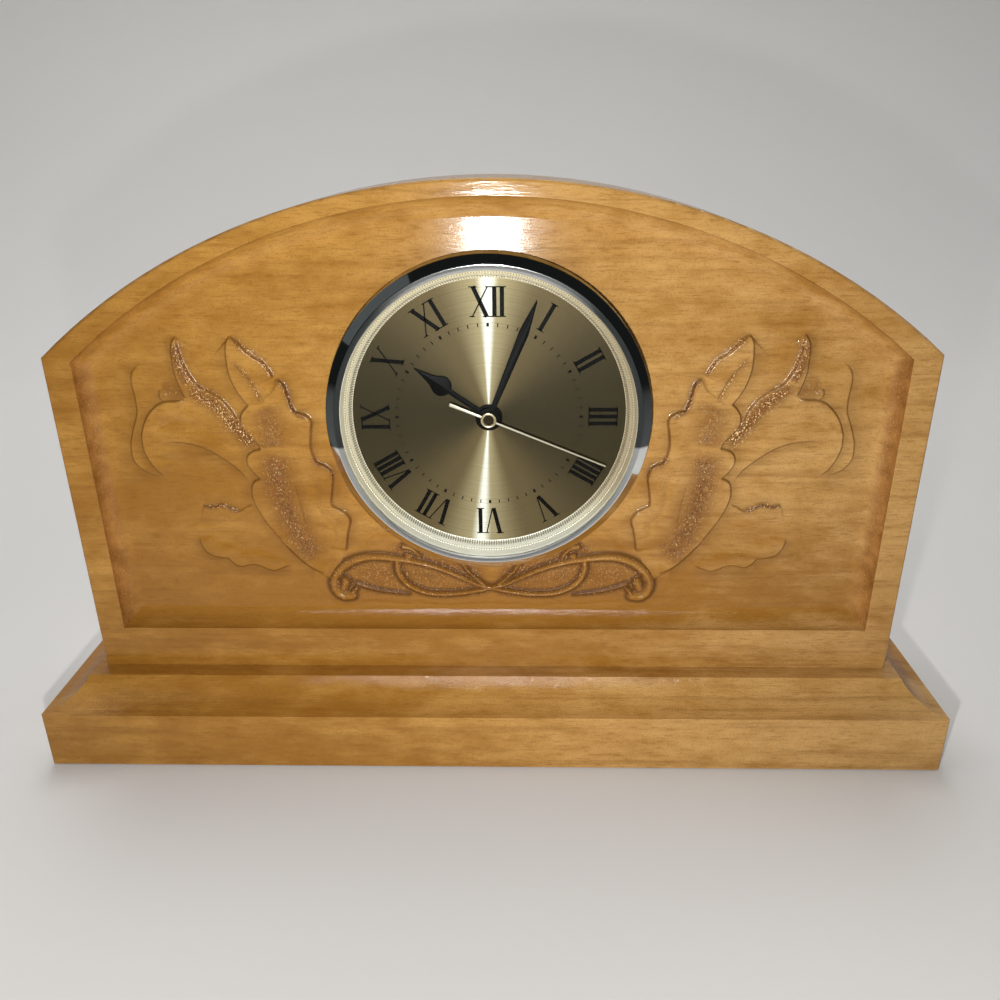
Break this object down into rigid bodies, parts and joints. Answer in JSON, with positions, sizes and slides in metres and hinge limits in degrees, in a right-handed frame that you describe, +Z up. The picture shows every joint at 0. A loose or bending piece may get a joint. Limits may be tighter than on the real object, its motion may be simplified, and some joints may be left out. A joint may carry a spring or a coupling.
{
  "type": "desk clock",
  "caption": "Wooden desk clock with an arched, leaf-carved face board on a moulded base, and a round quartz insert with a Roman dial.",
  "frame": {"origin": "middle of the base's underside", "axes": "+X along the base to the right as seen from the front, +Y to the back, +Z up"},
  "size_m": [0.285, 0.0596, 0.1768],
  "materials": {
    "lacquered_wood": "clear gloss lacquer over honey-brown wood",
    "steel_screws": "zinc plated",
    "dark_chrome": "polished",
    "clear_glass": "polished",
    "gilt_ring": "finely turned",
    "champagne_dial": "sunburst brushed",
    "black_plastic": "moulded, fine texture",
    "rubber_band": "smooth",
    "white_plastic": "moulded",
    "motor_iron": "punched sheet",
    "copper_wire": "enamelled wire",
    "circuit_laminate": "paper laminate",
    "chip_resin": "poured resin",
    "plated_steel": "nickel plated",
    "battery_jacket": "printed foil jacket, left plain",
    "gilt_hand": "polished",
    "gear_plastic": "moulded acetal",
    "magnet_ferrite": "bonded ferrite",
    "black_hand": "satin black",
    "knob_plastic": "moulded"
  },
  "bodies": {
    "case": {"face_board": "lacquered_wood", "base": "lacquered_wood", "base_screws": "steel_screws", "bezel": "dark_chrome", "lens": "clear_glass", "reeded_ring": "gilt_ring", "dial": "champagne_dial", "dial_pan": "black_plastic", "gasket": "rubber_band", "movement_plate": "black_plastic", "movement_screws": "steel_screws", "cover_screws": "steel_screws", "train_plate": "white_plastic", "movement_cover": "black_plastic", "stator": "motor_iron", "coil_core": "motor_iron", "coil_bobbin": "white_plastic", "coil_winding": "copper_wire", "circuit_board": "circuit_laminate", "drive_chip": "chip_resin", "quartz_crystal": "plated_steel", "battery": "battery_jacket", "contact_negative": "plated_steel", "contact_positive": "plated_steel"},
    "seconds": {"second_wheel": "gear_plastic", "second_hand": "gilt_hand", "centre_cap": "gilt_hand"},
    "third": {"third_wheel": "gear_plastic"},
    "centre": {"centre_wheel": "gear_plastic"},
    "idler": {"idler_wheel": "gear_plastic"},
    "motor_rotor": {"rotor": "gear_plastic", "rotor_magnet": "magnet_ferrite"},
    "minutes": {"minute_pinion": "gilt_hand", "minute_hand": "black_hand"},
    "setting": {"motion_wheel": "gear_plastic", "setting_knob": "knob_plastic"},
    "hours": {"hour_wheel": "gear_plastic", "hour_hand": "black_hand"}
  },
  "joints": [
    {"name": "second_hand_turn", "type": "hinge", "parent": "case", "child": "seconds", "pos_m": [0, -0.006, 0.11001], "axis": [0, 1, 0], "continuous": true},
    {"name": "third_wheel_turn", "type": "hinge", "parent": "case", "child": "third", "pos_m": [-0.00834, -0.006, 0.11483], "axis": [0, 1, 0], "continuous": true},
    {"name": "centre_wheel_turn", "type": "hinge", "parent": "case", "child": "centre", "pos_m": [0, -0.006, 0.11001], "axis": [0, 1, 0], "continuous": true},
    {"name": "idler_wheel_turn", "type": "hinge", "parent": "case", "child": "idler", "pos_m": [0.00495, -0.006, 0.11859], "axis": [0, 1, 0], "continuous": true},
    {"name": "rotor_turn", "type": "hinge", "parent": "case", "child": "motor_rotor", "pos_m": [0.00045, -0.006, 0.12395], "axis": [0, 1, 0], "continuous": true},
    {"name": "minute_hand_turn", "type": "hinge", "parent": "case", "child": "minutes", "pos_m": [0, -0.006, 0.11001], "axis": [0, 1, 0], "continuous": true},
    {"name": "setting_knob_turn", "type": "hinge", "parent": "case", "child": "setting", "pos_m": [0.012, -0.006, 0.11001], "axis": [0, 1, 0], "continuous": true},
    {"name": "hour_hand_turn", "type": "hinge", "parent": "case", "child": "hours", "pos_m": [0, -0.006, 0.11001], "axis": [0, 1, 0], "continuous": true}
  ],
  "couplings": [
    {"joint": "third_wheel_turn", "follows": "second_hand_turn", "ratio": -0.16667},
    {"joint": "centre_wheel_turn", "follows": "second_hand_turn", "ratio": 0.016667},
    {"joint": "idler_wheel_turn", "follows": "second_hand_turn", "ratio": -5},
    {"joint": "rotor_turn", "follows": "second_hand_turn", "ratio": 30},
    {"joint": "setting_knob_turn", "follows": "minute_hand_turn", "ratio": -0.33333},
    {"joint": "hour_hand_turn", "follows": "minute_hand_turn", "ratio": 0.083333}
  ]
}
